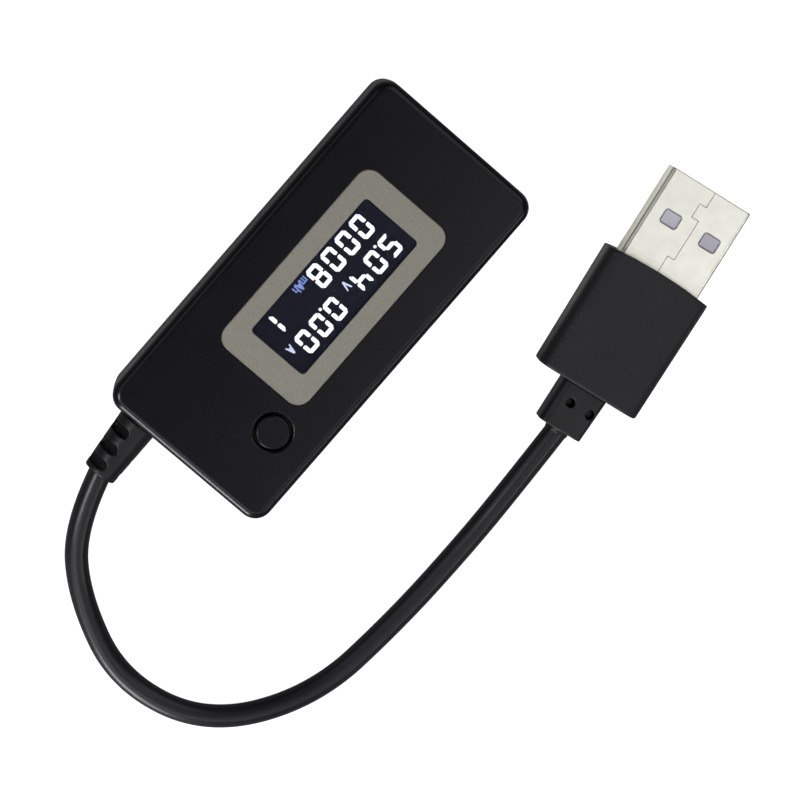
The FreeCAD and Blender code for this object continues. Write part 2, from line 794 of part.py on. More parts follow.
def make_socket_shell():
    """A folded steel sleeve, open at the mouth, with two tabs that pass through the board."""
    body = new_body("socket_sleeve")
    half = size("SocketWidth") / 2
    metal = size("SheetMetal")
    high = board_top() + size("SocketHeight")
    outer = sketch_on(body, "sleeve_outer", "YZ_Plane", socket_front())
    add_rounded_rectangle(outer, -half, half, board_top(), high, 0.6)
    pad(body, outer, size("SocketLength"))
    inner = sketch_on(body, "sleeve_inner", "YZ_Plane", socket_front() - 1)
    add_rounded_rectangle(inner, -half + metal, half - metal, board_top() + metal, high - metal, 0.3)
    pocket(body, inner, size("SocketLength") + 2)
    tabs = []
    for side in (-1, 1):
        y = (half - metal, half) if side == 1 else (-half, -half + metal)
        x = (size("SocketTabX") - 1, size("SocketTabX") + 1)
        tabs.append(block(f"socket_tab_{side + 1}", x, y, (size("BoardLow") - 0.3, board_top() + 1.5)))
    joined("usb_socket_shell", [body] + tabs)


def make_socket_contacts():
    """Four strips under the tongue that turn down behind the socket into the board."""
    strips = []
    half = size("ContactWidth") / 2
    high = tongue_low() + 0.1
    for index, y in enumerate(contact_centres()):
        side = (y - half, y + half)
        strip = block(f"socket_strip_{index}", (socket_front() + 2, socket_back() + 0.25), side,
                      (high - 0.25, high))
        tail = block(f"socket_tail_{index}", (socket_back(), socket_back() + 0.25), (y - 0.35, y + 0.35),
                     (size("BoardLow") - 0.4, high))
        strips.append(joined(f"socket_contact_{index}", [strip, tail]))
    return joined("usb_socket_contacts", strips, "Part::Compound")


def make_socket_insulator(contacts):
    metal = size("SheetMetal")
    half = size("SocketWidth") / 2 - metal - 0.1
    rear = block("socket_rear_block", (socket_back() - 2, socket_back() - 0.02), (-half, half),
                 (board_top() + metal + 0.1, board_top() + size("SocketHeight") - metal - 0.1))
    tongue = block("socket_tongue", (socket_front() + 0.9, socket_back() - 1), (-5.5, 5.5),
                   (tongue_low(), tongue_low() + size("TongueThickness")))
    minus("usb_socket_insulator", joined("socket_mould", [rear, tongue]), contacts)


# ---------------------------------------------------------------- cord, wires and strain reliefs

def rounded_path(points):
    """Straight runs joined by tangent arcs, each as large as its two runs allow; also the arcs' radii."""
    edges = []
    radii = []
    last = points[0]
    for before, corner, after in zip(points, points[1:], points[2:]):
        inward = corner - before
        outward = after - corner
        half_turn = inward.getAngle(outward) / 2
        setback = 0.45 * min(inward.Length, outward.Length)
        radius = setback / math.tan(half_turn)
        inward.normalize()
        outward.normalize()
        start = corner - inward * setback
        end = corner + outward * setback
        towards_centre = outward - inward
        towards_centre.normalize()
        middle = corner + towards_centre * (radius / math.cos(half_turn) - radius)
        edges.append(Part.LineSegment(last, start).toShape())
        edges.append(Part.Arc(start, middle, end).toShape())
        radii.append(radius)
        last = end
    edges.append(Part.LineSegment(last, points[-1]).toShape())
    return Part.Wire(edges), radii


def make_tube(label, route, diameter):
    """A round tube along a route; its volume has to be its section times its length."""
    points = [FreeCAD.Vector(*point) for point in route]
    path, radii = rounded_path(points)
    ring = Part.Wire(Part.makeCircle(diameter / 2, points[0], points[1] - points[0]))
    shape = path.makePipe(Part.Face(ring))
    wanted = math.pi * diameter ** 2 / 4 * path.Length
    if abs(shape.Volume - wanted) > 0.01 * wanted:
        raise RuntimeError(f"{label}: volume {shape.Volume} is not {wanted}")
    tube = doc.addObject("Part::Feature", label)
    tube.Label = label
    tube.Shape = shape
    print(label, "length", round(path.Length, 1), "radii", [round(radius, 1) for radius in radii])


def make_inner_wires():
    """Four wires from the strain relief's inner end to pads on the board, in two layers."""
    start_x = 23.98
    gland_y = SIZES["GlandY"]
    high = SIZES["PartingHeight"]
    pad_height = SIZES["BoardLow"] + SIZES["BoardThickness"] + 0.5
    wires = [("wire_red", -0.6, 0.6, -2.3, 17.6), ("wire_white", 0.6, 0.6, 2.3, 17.6),
             ("wire_green", -0.6, -0.6, -0.8, 19.2), ("wire_black", 0.6, -0.6, 0.8, 19.2)]
    for label, side, layer, spread, pad_x in wires:
        route = [
            (start_x, gland_y + side, high + layer),
            (start_x - 1.6, gland_y + side * 1.1, high + layer),
            (pad_x + 1.6, gland_y + spread, pad_height + 0.05),
            (pad_x, gland_y + spread, pad_height),
        ]
        make_tube(label, route, 1.0)


def relief_cutters():
    """Rounded slots sunk into both sides of the sleeve at three stations."""
    cutters = []
    radius = SIZES["ReliefSlotWidth"] / 2
    floor = SIZES["ReliefSlotFloor"]
    depth = SIZES["ReliefBase"] / 2
    reach = SIZES["ReliefSlotReach"]
    for station, x in enumerate((2.3, 4.9, 7.35)):
        for side, roll in enumerate((-48, 132)):
            slot = Part.makeBox(2 * radius, 2 * reach, depth, FreeCAD.Vector(x - radius, -reach, floor))
            for end in (-reach, reach):
                slot = slot.fuse(Part.makeCylinder(radius, depth, FreeCAD.Vector(x, end, floor)))
            cutter = doc.addObject("Part::Feature", f"relief_slot_{station}_{side}")
            cutter.Shape = slot.removeSplitter()
            cutter.Placement = FreeCAD.Placement(
                FreeCAD.Vector(0, 0, 0), FreeCAD.Rotation(FreeCAD.Vector(1, 0, 0), -roll))
            cutters.append(cutter)
    return joined("relief_slots", cutters, "Part::Compound")


def make_case_strain_relief():
    """A tapered sleeve outside the wall, a neck through it and a flange behind it."""
    body = new_body("relief_sleeve")
    sketch = sketch_on(body, "relief_outline", "XZ_Plane")
    neck = size("NeckDiameter") / 2
    base = size("ReliefBase") / 2
    tip = size("ReliefTip") / 2
    flange = size("ReliefFlangeDiameter") / 2
    flange_front = -size("WallThickness") - 0.35
    flange_back = flange_front - 1.45
    gap = size("ReliefGap")
    add_polygon(sketch, [(flange_back, 0), (flange_back, flange), (flange_front, flange),
                         (flange_front, neck), (gap, neck), (gap, base), (size("ReliefLength"), tip),
                         (size("ReliefLength"), 0)])
    revolve(body, sketch, "H_Axis")
    round_edges(body, lambda point: abs(point.x - SIZES["ReliefLength"]) < 1e-4, 0.25)
    relief = minus("case_strain_relief", body, relief_cutters())
    place(relief, size("CaseLength") / 2, size("GlandY"), size("PartingHeight"), size("GlandHeading"))


# ---------------------------------------------------------------- USB-A plug

def place_on_plug(item):
    return place(item, size("PlugX"), size("PlugY"), size("PlugAxisHeight"), size("PlugHeading"))


def make_plug_strain_relief():
    """A short rounded block with two round recesses, and a collar that grips the cord."""
    body = new_body("plug_strain_relief")
    half_width = size("BlockWidth") / 2
    half_thickness = size("BlockThickness") / 2
    front = sketch_on(body, "block_front", "YZ_Plane")
    radius = size("BlockRadius")
    middle = size("BlockMiddle")
    add_rounded_rectangle(front, middle - half_width, middle + half_width, -half_thickness, half_thickness,
                          radius)
    middle = size("BlockMiddle") + size("BlockLean")
    half_width, half_end = half_width - size("BlockTaper"), half_thickness - size("BlockTaper")
    back = sketch_on(body, "block_back", "YZ_Plane", -size("BlockLength"))
    add_rounded_rectangle(back, middle - half_width, middle + half_width, -half_end, half_end, radius)
    loft = body.newObject("PartDesign::AdditiveLoft", "block_loft")
    loft.Profile = front
    loft.Sections = [back]
    doc.recompute()
    recesses = sketch_on(body, "block_recesses", "XY_Plane", size("BlockRecessFloor"))
    for x, y in ((-2.45, 0.77), (-2.5, -2.26)):
        add_circle(recesses, x, y, size("BlockRecess"))
    pocket(body, recesses, half_thickness)
    collar = sketch_on(body, "block_collar", "YZ_Plane", -size("BlockLength") - size("CollarLength"))
    add_circle(collar, 0, 0, size("CordDiameter") + 0.2)
    pad(body, collar, size("CollarLength") + 0.2)
    place_on_plug(body)


def make_plug_overmold():
    """The moulded grip: well rounded long edges, a bowed front edge and a pocket that holds the shell."""
    body = new_body("plug_overmold")
    half_thickness = size("OvermoldThickness") / 2
    outline = sketch_on(body, "overmold_outline", "XY_Plane", -half_thickness)
    length = size("OvermoldLength")
    back, front = size("OvermoldBack") / 2, size("OvermoldFront") / 2
    bow = size("OvermoldBow")
    middle = size("OvermoldMiddle")
    shoulder = length + bow * 0.75
    add_polygon(outline, [(0, middle - back), (length, middle - front), (shoulder, middle - front / 2),
                          (length + bow, middle), (shoulder, middle + front / 2), (length, middle + front),
                          (0, middle + back)])
    pad(body, outline, size("OvermoldThickness"))
    side = SIZES["OvermoldBack"] / 2 - 0.5
    rim = SIZES["OvermoldThickness"] / 2 - 0.1
    round_edges(body, lambda point: abs(point.y) > side and abs(point.z) > rim, size("OvermoldRounding"))
    round_edges(body, lambda point: abs(point.x) < 1e-4, 0.3)
    seat = sketch_on(body, "overmold_seat", "YZ_Plane", length - size("PlugBuried"))
    add_plug_section(seat, 0)
    pocket(body, seat, size("PlugBuried") + 2)
    place_on_plug(body)


def add_plug_section(sketch, inset):
    """The outline of the plug's metal shell, or one drawn this far inside it."""
    half_width = size("PlugWidth") / 2 - inset
    half_height = size("PlugThickness") / 2 - inset
    middle = size("PlugMiddle")
    add_rounded_rectangle(sketch, middle - half_width, middle + half_width, -half_height, half_height,
                          size("PlugRadius") - inset)


def plug_tip():
    return size("OvermoldLength") + size("PlugExposed")


def plug_window_places():
    """The windows' middles, along and across the plug."""
    x = plug_tip() - size("PlugWindowBack")
    middle = size("PlugWindowMiddle")
    return [(x, middle - size("PlugWindowOffset")), (x, middle + size("PlugWindowOffset"))]


def seam_cutter():
    """The folded sheet's seam: a fine slit that steps from side to side like a dovetail."""
    tip = plug_tip().value
    slit = 0.08
    stations = [(0, -0.74), (2.3, -0.74), (2.3, 0.25), (4.3, 0.25), (4.3, -0.82), (10.2, -0.82), (10.2, 0.18),
                (13.5, 0.18)]
    pieces = []
    for index, ((back0, side0), (back1, side1)) in enumerate(zip(stations, stations[1:])):
        x = (tip - back1 - slit / 2, tip - back0 + slit / 2)
        y = (min(side0, side1) - slit / 2, max(side0, side1) + slit / 2)
        pieces.append(block(f"seam_{index}", x, y, (1.5, 3)))
    return joined("seam_slit", pieces)


def make_plug_shell():
    """A folded steel sleeve, rounded off at the tip, with two windows in both its broad faces."""
    body = new_body("plug_sleeve")
    start = size("OvermoldLength") - size("PlugBuried")
    tip = plug_tip()
    outer = sketch_on(body, "plug_outer", "YZ_Plane", start)
    add_plug_section(outer, 0)
    pad(body, outer, tip - start)
    round_edges(body, lambda point: abs(point.x - tip.value) < 1e-4, 0.2)
    inner = sketch_on(body, "plug_inner", "YZ_Plane", start - 1)
    add_plug_section(inner, size("SheetMetal"))
    pocket(body, inner, tip - start + 2)
    windows = sketch_on(body, "plug_windows", "XY_Plane", -4)
    half_length, half_width = size("PlugWindowLength") / 2, size("PlugWindowWidth") / 2
    for x, y in plug_window_places():
        add_rounded_rectangle(windows, x - half_length, x + half_length, y - half_width, y + half_width,
                              size("PlugWindowRadius"))
    pocket(body, windows, 8)
    place_on_plug(minus("plug_shell", body, seam_cutter()))


def make_plug_inside():
    """The insulator, its tongue on the seam side with a pad in each window, and the four contacts."""
    middle = size("PlugMiddle")
    half_width = size("PlugWidth") / 2 - size("SheetMetal") - 0.1
    half_height = size("PlugThickness") / 2 - size("SheetMetal") - 0.1
    sides = (middle - half_width, middle + half_width)
    start = size("OvermoldLength") - size("PlugBuried")
    tip = plug_tip()
    rear = block("plug_rear_block", (start, start + 7.5), sides, (-half_height, half_height))
    tongue = block("plug_tongue", (start + 5, tip - 0.6), sides, (0, half_height))
    strips = []
    half = size("ContactWidth") / 2
    for index, y in enumerate(contact_centres()):
        reach = 1.6 if abs(y.value) > 2 else 2.6
        side = (middle + y - half, middle + y + half)
        strips.append(block(f"plug_strip_{index}", (start, tip - reach), side, (-0.1, 0.15)))
    contacts = joined("plug_contacts", strips, "Part::Compound")
    mould = joined("plug_mould", [rear, tongue] + window_pads(half_height))
    insulator = minus("plug_insulator", mould, contacts_copy(strips))
    place_on_plug(insulator)
    place_on_plug(contacts)


def window_pads(low):
    """A raised pad on the tongue for each window, with a gap all round."""
    gap = size("PlugPadGap")
    half_length = size("PlugWindowLength") / 2 - gap
    half_width = size("PlugWindowWidth") / 2 - gap
    high = size("PlugThickness") / 2 - 0.15
    return [block(f"window_pad_{index}", (x - half_length, x + half_length), (y - half_width, y + half_width),
                  (low - 0.2, high)) for index, (x, y) in enumerate(plug_window_places())]


def contacts_copy(strips):
    """The contacts again, unplaced, as a tool in the plug's own frame."""
    return joined("plug_contact_tool", strips, "Part::Compound")


# ---------------------------------------------------------------- the whole meter

NODES = [
    "bottom_shell", "top_shell", "bezel_plate", "window_pane",
    "lcd_front_polariser", "lcd_front_glass", "lcd_rear_glass", "backlight_guide", "backlight_leds",
    "lcd_holder", "lcd_connector_strip",
    "mode_button", "tact_switch_base", "tact_switch_cover", "tact_switch_dome", "tact_switch_plunger",
    "circuit_board", "microcontroller", "memory_chip", "voltage_regulator", "shunt_resistor",
    "chip_capacitors", "chip_resistors",
    "usb_socket_shell", "usb_socket_insulator", "usb_socket_contacts",
    "wire_red", "wire_white", "wire_green", "wire_black",
    "case_strain_relief", "cord", "plug_strain_relief",
    "plug_overmold", "plug_shell", "plug_insulator", "plug_contacts",
]


def check_and_export():
    doc.recompute()
    for item in doc.Objects:
        if "Invalid" in item.State or "Error" in item.State:
            raise RuntimeError(f"{item.Label}: {item.State}")
    os.makedirs("parts", exist_ok=True)
    for node in NODES:
        shape = doc.getObjectsByLabel(node)[0].Shape
        if shape.isNull() or not shape.isValid() or not shape.Solids:
            raise RuntimeError(f"{node} has no valid solid")
        shape.exportStep(f"parts/{node}.step")
        print(node, len(shape.Solids), "solids", round(shape.Volume, 1), "mm3")


make_sheet()
make_bottom_shell()
make_top_shell()
make_bezel_plate()
make_window_pane()
make_display()
make_lcd_holder()
make_mode_button()
make_tact_base()
make_tact_cover()
make_tact_plunger()
make_tact_dome()
make_circuit_board()
make_components()
make_socket_shell()
make_socket_insulator(make_socket_contacts())
make_inner_wires()
make_tube("cord", CORD_ROUTE, SIZES["CordDiameter"])
make_case_strain_relief()
make_plug_strain_relief()
make_plug_overmold()
make_plug_shell()
make_plug_inside()
check_and_export()
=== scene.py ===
"""The looks of a USB power meter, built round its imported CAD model.

Everything is in metres, in the model's own frame: +X runs from the socket to the cord, +Y is the top of the
displayed text, and +Z comes out of the display. The display's own outlines are in millimetres.
"""
import json
import math

import bmesh
import bpy
from mathutils import Matrix, Vector


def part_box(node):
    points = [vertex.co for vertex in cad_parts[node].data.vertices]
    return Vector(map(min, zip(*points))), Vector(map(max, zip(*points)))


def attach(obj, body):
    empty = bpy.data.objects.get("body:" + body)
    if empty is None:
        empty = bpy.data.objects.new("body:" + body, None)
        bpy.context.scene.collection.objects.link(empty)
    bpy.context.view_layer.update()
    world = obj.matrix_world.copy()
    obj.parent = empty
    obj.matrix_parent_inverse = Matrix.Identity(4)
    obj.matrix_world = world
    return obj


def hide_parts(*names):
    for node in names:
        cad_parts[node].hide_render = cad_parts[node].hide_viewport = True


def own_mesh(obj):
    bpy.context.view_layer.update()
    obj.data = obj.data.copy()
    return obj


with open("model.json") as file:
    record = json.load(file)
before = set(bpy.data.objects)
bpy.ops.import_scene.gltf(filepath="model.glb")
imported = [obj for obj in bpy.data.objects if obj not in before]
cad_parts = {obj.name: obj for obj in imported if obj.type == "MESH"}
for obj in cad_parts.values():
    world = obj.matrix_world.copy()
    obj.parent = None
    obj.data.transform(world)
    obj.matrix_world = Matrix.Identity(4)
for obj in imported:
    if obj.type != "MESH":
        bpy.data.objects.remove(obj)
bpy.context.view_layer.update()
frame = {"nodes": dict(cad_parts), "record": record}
NODES = frame["nodes"]
BODY = "meter"
MM = 0.001

# ---------------------------------------------------------------- sizes and places

CORD_DIAMETER = 0.0031
# The route that part.py gives the cord's tube, from the case's strain relief to the plug's
CORD_ROUTE = [
    (0.0353, -0.0066, 0.00625),
    (0.0433, -0.00445, 0.0055),
    (0.0504, 0.0023, 0.0034),
    (0.0559, 0.0137, 0.0019),
    (0.0529, 0.0265, 0.0017),
    (0.0408, 0.0348, 0.00165),
    (0.0258, 0.0363, 0.00165),
    (0.0120, 0.0364, 0.0021),
    (0.0015, 0.0358, 0.0033),
    (-0.0072, 0.0352, 0.0040),
]

# Points closer than this are merged before a moulding is remeshed
MERGE_DISTANCE = 0.001 * MM
# Rubber mouldings: CAD node, piece that replaces it, material slot, voxel size, rounds of relaxing
SOFT_MOULDINGS = [
    ("case_strain_relief", "case_relief_sleeve", "relief_black", 0.12 * MM, 3),
    ("plug_strain_relief", "plug_relief_block", "relief_black", 0.12 * MM, 3),
    ("plug_overmold", "plug_grip", "overmold_black", 0.16 * MM, 2),
]

# The lit display, in millimetres about the model's origin
DIGIT_HALF_WIDTH = 0.99
STROKE = 0.52
SEGMENT_THICKNESS = 0.03
SEGMENT_GAP = 0.02
DOT_RADIUS = 0.21
DOT_SIDES = 16
TOP_ROW = 2.0
BOTTOM_ROW = -2.32
TOP_HALF_HEIGHT = 1.53
BOTTOM_HALF_HEIGHT = 1.61
TOP_DIGITS = [("5", -11.12), ("0", -8.36), ("4", -5.58), ("0", -0.50), ("0", 2.24), ("0", 4.97)]
BOTTOM_DIGITS = [("0", -10.62), ("0", -7.88), ("0", -5.14), ("8", -2.38), ("1", 4.95)]
DECIMAL_POINTS = [(-9.78, 0.62), (0.80, 0.60)]
VOLT_AND_AMP_SIGNS = [("V", -3.66, 1.12), ("A", 7.11, 1.20)]
COUNT_SIGNS = [("m", -0.63, -3.48), ("A", 0.20, -3.26), ("h", 0.92, -3.26)]
LIT = {"0": "abcdef", "1": "bc", "4": "bcfg", "5": "acdfg", "8": "abcdefg"}

# The camera stands at a place and looks down along a bearing, in degrees. Lens and sensor are in millimetres.
CAMERA_PLACE = (-0.02574, -0.04339, 0.43776)
CAMERA_BEARING = 64.2
CAMERA_DOWNWARD = 81.2
CAMERA_UP_HEADING = 221.1
CAMERA_LENS = 151.8
CAMERA_SENSOR = 36
CAMERA_CLIP_START = 10 * MM

FLOOR_HALF_WIDTH = 1.5
FLOOR_GAP = 0.02 * MM
WHITE_CARD_RADIUS = 16 * MM
GREY_CARD_RADIUS = 22 * MM
WHITE_CARD = (0.9, 0.9, 0.86)
GREY_CARD = (0.25, 0.25, 0.25)
WORLD_BRIGHTNESS = 0.05

# Softboxes: name, azimuth and elevation in degrees, distance, width, height, radiance
LIGHT_AIM = (0.005, 0.01, 0.005)
SOFTBOXES = [
    ("overhead_panel", 100, 68.8, 0.335, 0.205, 0.17, 1.28),
    ("key", -34, 50, 0.50, 0.09, 0.09, 36),
    ("side_panel", 14, 50, 0.45, 0.24, 0.16, 2.5),
    ("corner_panel", 58, 42, 0.50, 0.20, 0.12, 1.6),
    ("right_strip", 9, 14, 0.60, 0.20, 0.17, 22),
    ("top_strip", 92, 30, 0.55, 0.30, 0.10, 4.5),
    ("back_panel", -82, 40, 0.50, 0.22, 0.12, 1.2),
    ("left_panel", 180, 45, 0.50, 0.36, 0.36, 1.1),
]


# ---------------------------------------------------------------- materials

# Nearly all of the noise texture's values lie between these
NOISE_LOW = 0.3
NOISE_HIGH = 0.7


class Finish:
    """A material being made: its shader, and short names for the nodes that colour and roughen it."""

    def __init__(self, name, **sockets):
        self.material = bpy.data.materials.new(name)
        self.material.use_nodes = True
        self.tree = self.material.node_tree
        self.shader = self.tree.nodes["Principled BSDF"]
        self.place = self.add("ShaderNodeTexCoord").outputs["Object"]
        for socket, value in sockets.items():
            self.shader.inputs[socket.replace("_", " ")].default_value = value

    def add(self, kind, **settings):
        item = self.tree.nodes.new(kind)
        for setting, value in settings.items():
            setattr(item, setting, value)
        return item

    def link(self, output, item_input):
        self.tree.links.new(output, item_input)

    def noise(self, size, detail, stretch=(1, 1, 1)):
        """Noise with blotches about this size in metres, and finer along an axis that is stretched."""
        squeeze = self.add("ShaderNodeMapping")
        squeeze.inputs["Scale"].default_value = stretch
        self.link(self.place, squeeze.inputs["Vector"])
        item = self.add("ShaderNodeTexNoise")
        item.inputs["Scale"].default_value = 1 / size
        item.inputs["Detail"].default_value = detail
        self.link(squeeze.outputs["Vector"], item.inputs["Vector"])
        return item.outputs["Fac"]

    def cells(self, size):
        """Distance to the nearest of scattered points about this far apart in metres."""
        item = self.add("ShaderNodeTexVoronoi")
        item.inputs["Scale"].default_value = 1 / size
        self.link(self.place, item.inputs["Vector"])
        return item.outputs["Distance"]

    def bands(self, scale):
        """Even stripes across X, from 0 to 1 and back, about 3.2 times scale of them to the metre."""
        item = self.add("ShaderNodeTexWave")
        item.inputs["Scale"].default_value = scale
        self.link(self.place, item.inputs["Vector"])
        return item.outputs["Fac"]

    def near(self, x, y):
        """Distance from a place on the floor, in metres."""
        distance = self.add("ShaderNodeVectorMath", operation="DISTANCE")
        self.link(self.place, distance.inputs[0])
        distance.inputs[1].default_value = (x, y, 0)
        return distance.outputs["Value"]

    def colours(self, factor, stops):
        """A colour from a factor: stops are (position, (red, green, blue))."""
        item = self.add("ShaderNodeValToRGB")
        ramp = item.color_ramp
        for element, (position, colour) in zip(ramp.elements, (stops[0], stops[-1])):
            element.position = position
            element.color = (*colour, 1)
        for position, colour in stops[1:-1]:
            ramp.elements.new(position).color = (*colour, 1)
        self.link(factor, item.inputs["Fac"])
        return item.outputs["Color"]

    def tones(self, noise, dark, light):
        """A colour that follows noise from dark to light."""
        return self.colours(noise, [(NOISE_LOW, dark), (NOISE_HIGH, light)])

    def paint(self, colour, socket="Base Color"):
        self.link(colour, self.shader.inputs[socket])

    def rough(self, noise, low, high):
        """Roughness that follows noise from low to high."""
        item = self.add("ShaderNodeMapRange")
        self.link(noise, item.inputs["Value"])
        item.inputs["From Min"].default_value = NOISE_LOW
        item.inputs["From Max"].default_value = NOISE_HIGH
        item.inputs["To Min"].default_value = low
        item.inputs["To Max"].default_value = high
        self.link(item.outputs["Result"], self.shader.inputs["Roughness"])

    def bump(self, height, depth):
        """Relief of this depth in metres."""
        item = self.add("ShaderNodeBump")
        item.inputs["Distance"].default_value = depth
        self.link(height, item.inputs["Height"])
        self.link(item.outputs["Normal"], self.shader.inputs["Normal"])


def grey(level):
    return (level, level, level)


def plastic(name, dark, light, roughness, grain, depth, **sockets):
    """Moulded plastic or rubber: a fine spark-eroded grain over slow changes of tone."""
    finish = Finish(name, **sockets)
    finish.paint(finish.tones(finish.noise(6 * MM, 4), dark, light))
    finish.rough(finish.noise(0.5 * MM, 3), roughness - 0.02, roughness + 0.02)
    finish.bump(finish.noise(grain * MM, 2), depth * MM)
    return finish.material


def metal(name, dark, light, roughness, scratch):
    """Plated or rolled sheet with faint drawing marks, finer along the axes that scratch stretches."""
    finish = Finish(name, Metallic=1.0)
    finish.paint(finish.tones(finish.noise(2 * MM, 4), dark, light))
    marks = finish.noise(0.4 * MM, 3, scratch)
    finish.rough(marks, roughness - 0.06, roughness + 0.06)
    finish.bump(marks, 0.004 * MM)
    return finish.material


def bezel_material(name):
    """Grey paint with fine metallic flakes."""
    finish = Finish(name, Metallic=0.15)
    flakes = finish.cells(0.16 * MM)
    finish.paint(finish.colours(flakes, [(0.15, (0.285, 0.277, 0.232)), (0.6, (0.225, 0.217, 0.184))]))
    finish.rough(finish.noise(0.3 * MM, 3), 0.38, 0.52)
    finish.bump(finish.noise(0.14 * MM, 2), 0.012 * MM)
    return finish.material


def window_material(name):
    """Clear acrylic with a few hairline marks in its polish."""
    finish = Finish(name, Transmission_Weight=1.0, IOR=1.49)
    finish.paint(finish.tones(finish.noise(4 * MM, 2), (0.94, 0.95, 0.96), grey(1)))
    finish.rough(finish.noise(0.9 * MM, 3, (1, 6, 1)), 0.0, 0.05)
    return finish.material


def polariser_material(name):
    """The display's dark film, with a little of the backlight leaking through it."""
    finish = Finish(name, Roughness=0.3, Specular_IOR_Level=0.2, Emission_Strength=1.0)
    cloud = finish.noise(5 * MM, 3)
    finish.paint(finish.tones(cloud, (0.004, 0.004, 0.009), (0.007, 0.007, 0.014)))
    finish.paint(finish.tones(cloud, (0.001, 0.0015, 0.006), (0.002, 0.0026, 0.009)), "Emission Color")
    return finish.material


def lit_material(name, dark, light, strength):
    """Lit liquid-crystal segments, a little uneven from the backlight behind them."""
    finish = Finish(name, Roughness=0.5, Emission_Strength=strength)
    glow = finish.tones(finish.noise(1.2 * MM, 2), dark, light)
    finish.paint(glow)
    finish.paint(glow, "Emission Color")
    return finish.material


def glass_material(name):
    """The display's glass, dark with the liquid crystal between its sheets."""
    finish = Finish(name, Transmission_Weight=0.6, IOR=1.52)
    finish.paint(finish.tones(finish.noise(3 * MM, 2), (0.10, 0.12, 0.13), (0.14, 0.16, 0.17)))
    finish.rough(finish.noise(1 * MM, 2), 0.04, 0.12)
    return finish.material


def strip_material(name):
    """The connector strip: conducting and insulating rubber in fine turns along its length."""
    finish = Finish(name, Roughness=0.6)
    turns = finish.bands(600)
    finish.paint(finish.colours(turns, [(0.45, grey(0.02)), (0.55, (0.55, 0.25, 0.25))]))
    finish.bump(finish.noise(0.2 * MM, 2), 0.01 * MM)
    return finish.material


def board_material(name):
    """Solder mask over copper, with the copper's edges just showing as lighter lines."""
    finish = Finish(name, Coat_Weight=0.4, Coat_Roughness=0.15)
    tracks = finish.noise(1.6 * MM, 1)
    bare = (0.006, 0.05, 0.016)
    edge = (0.02, 0.13, 0.045)
    over_copper = (0.010, 0.075, 0.024)
    finish.paint(finish.colours(tracks, [(0.42, bare), (0.5, edge), (0.58, over_copper)]))
    finish.rough(finish.noise(0.6 * MM, 3), 0.3, 0.42)
    finish.bump(tracks, 0.03 * MM)
    return finish.material


# Plastics: slot, darkest and lightest tone, roughness, size and depth of the grain in millimetres
PLASTICS = [
    ("holder_black", grey(0.01), grey(0.018), 0.6, 0.3, 0.01),
    ("switch_black", grey(0.01), grey(0.02), 0.5, 0.3, 0.01),
    ("chip_black", grey(0.012), (0.02, 0.02, 0.021), 0.6, 0.15, 0.01),
    ("chip_tan", (0.32, 0.21, 0.12), (0.42, 0.29, 0.17), 0.5, 0.2, 0.006),
    ("guide_white", (0.78, 0.8, 0.82), (0.88, 0.9, 0.92), 0.3, 0.5, 0.006),
    ("led_white", (0.7, 0.66, 0.35), (0.85, 0.8, 0.5), 0.4, 0.3, 0.006),
    ("socket_white", (0.66, 0.66, 0.64), (0.76, 0.76, 0.74), 0.42, 0.3, 0.006),
    ("plug_grey", (0.46, 0.45, 0.52), (0.53, 0.52, 0.59), 0.45, 0.3, 0.006),
    ("wire_red", (0.35, 0.01, 0.01), (0.5, 0.02, 0.02), 0.4, 0.4, 0.006),
    ("wire_white", (0.7, 0.7, 0.68), (0.8, 0.8, 0.78), 0.4, 0.4, 0.006),
    ("wire_green", (0.01, 0.2, 0.03), (0.02, 0.3, 0.05), 0.4, 0.4, 0.006),
    ("wire_black", grey(0.01), grey(0.02), 0.4, 0.4, 0.006),
]
# The black parts that the photograph shows: the same, then how strong their gloss is, and its tint
WHITE = grey(1)
OUTER_PLASTICS = [
    ("case_black", (0.0032, 0.0032, 0.0048), (0.0048, 0.0048, 0.0070), 0.26, 0.16, 0.006, 0.27,
     (0.93, 0.93, 1.0)),
    ("button_black", (0.0035, 0.0035, 0.005), (0.0055, 0.0055, 0.0075), 0.28, 0.14, 0.006, 0.23, WHITE),
    ("relief_black", (0.004, 0.004, 0.0055), (0.008, 0.008, 0.010), 0.40, 0.20, 0.008, 0.32, WHITE),
    ("cord_black", (0.006, 0.006, 0.009), (0.010, 0.010, 0.014), 0.34, 0.30, 0.006, 0.34, WHITE),
    ("overmold_black", (0.008, 0.008, 0.011), (0.012, 0.012, 0.016), 0.50, 0.40, 0.050, 0.3, WHITE),
]
# Metals: slot, darkest and lightest tone, roughness, stretch of the drawing marks
METALS = [
    ("switch_steel", (0.55, 0.54, 0.52), (0.68, 0.67, 0.65), 0.32, (1, 8, 1)),
    ("socket_steel", (0.58, 0.57, 0.54), (0.70, 0.69, 0.66), 0.30, (1, 8, 8)),
    ("plug_nickel", (0.86, 0.85, 0.77), (0.94, 0.93, 0.85), 0.34, (1, 8, 8)),
    ("contact_gold", (0.82, 0.58, 0.22), (0.95, 0.70, 0.32), 0.22, (1, 6, 1)),
]
SPECIAL_MATERIALS = {
    "bezel_grey": bezel_material,
    "window_clear": window_material,
    "polariser_dark": polariser_material,
    "lcd_glass": glass_material,
    "strip_rubber": strip_material,
    "board_green": board_material,
}


def slot_materials():
    """One material for each of the record's slots."""
    finishes = {}
    for slot, *settings, gloss, tint in OUTER_PLASTICS:
        finishes[slot] = plastic(slot, *settings, Specular_IOR_Level=gloss, Specular_Tint=(*tint, 1))
    for slot, *settings in PLASTICS:
        finishes[slot] = plastic(slot, *settings)
    for slot, *settings in METALS:
        finishes[slot] = metal(slot, *settings)
    for slot, make in SPECIAL_MATERIALS.items():
        finishes[slot] = make(slot)
    return finishes


